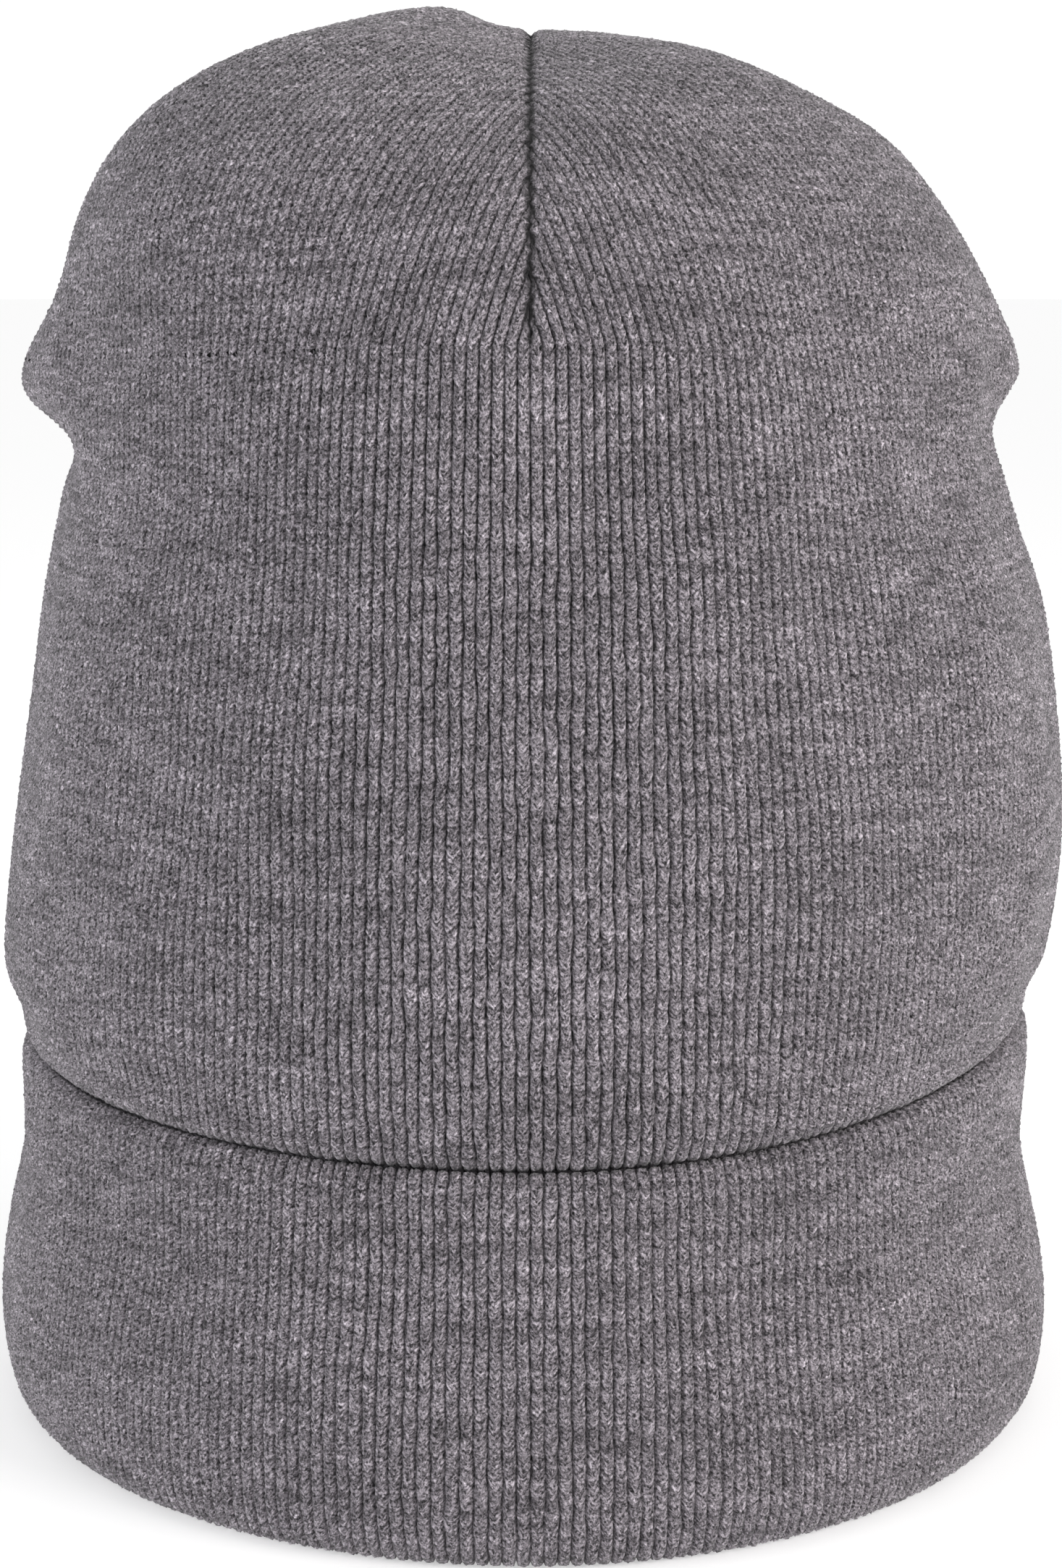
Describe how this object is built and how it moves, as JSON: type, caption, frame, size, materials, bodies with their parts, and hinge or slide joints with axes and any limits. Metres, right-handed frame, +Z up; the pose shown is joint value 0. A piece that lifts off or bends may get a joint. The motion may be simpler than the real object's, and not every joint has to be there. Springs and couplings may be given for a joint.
{
  "type": "knit beanie",
  "caption": "Long close-fitting beanie of fine heather rib knit, double layered, with crown darts and a turned-up cuff.",
  "frame": {"origin": "middle of the brim, on the surface that the hat stands on, which is the bottom centre of its box", "axes": "+Z up through the crown, -Y the front of the head, +X the wearer's left"},
  "size_m": [0.1802, 0.2222, 0.229],
  "materials": {
    "heather_rib": "fine one by one rib knit, soft heather grey, matt",
    "heather_lining": "the same rib knit on the head side, matt",
    "seam_thread": "textured polyester overlock thread, matt",
    "label_tape": "plain woven tape, slight satin sheen"
  },
  "bodies": {
    "root": {"outer_body_back_left": "heather_rib", "outer_body_back_right": "heather_rib", "outer_body_front_right": "heather_rib", "outer_body_front_left": "heather_rib", "outer_crown_back_left": "heather_rib", "outer_crown_back_right": "heather_rib", "outer_crown_front_right": "heather_rib", "outer_crown_front_left": "heather_rib", "cuff_face_back_left": "heather_rib", "cuff_face_back_right": "heather_rib", "cuff_face_front_right": "heather_rib", "cuff_face_front_left": "heather_rib", "cuff_back": "heather_rib", "lining_body": "heather_lining", "lining_crown_back_left": "heather_lining", "lining_crown_back_right": "heather_lining", "lining_crown_front_right": "heather_lining", "lining_crown_front_left": "heather_lining", "outer_dart_seam_left": "seam_thread", "outer_dart_seam_back": "seam_thread", "outer_dart_seam_right": "seam_thread", "outer_dart_seam_front": "seam_thread", "lining_dart_seam_left": "seam_thread", "lining_dart_seam_back": "seam_thread", "lining_dart_seam_right": "seam_thread", "lining_dart_seam_front": "seam_thread", "outer_crown_tack": "seam_thread", "lining_crown_tack": "seam_thread", "label_stitches": "seam_thread", "turning_gap_stitches": "seam_thread", "care_label": "label_tape"}
  },
  "joints": []
}
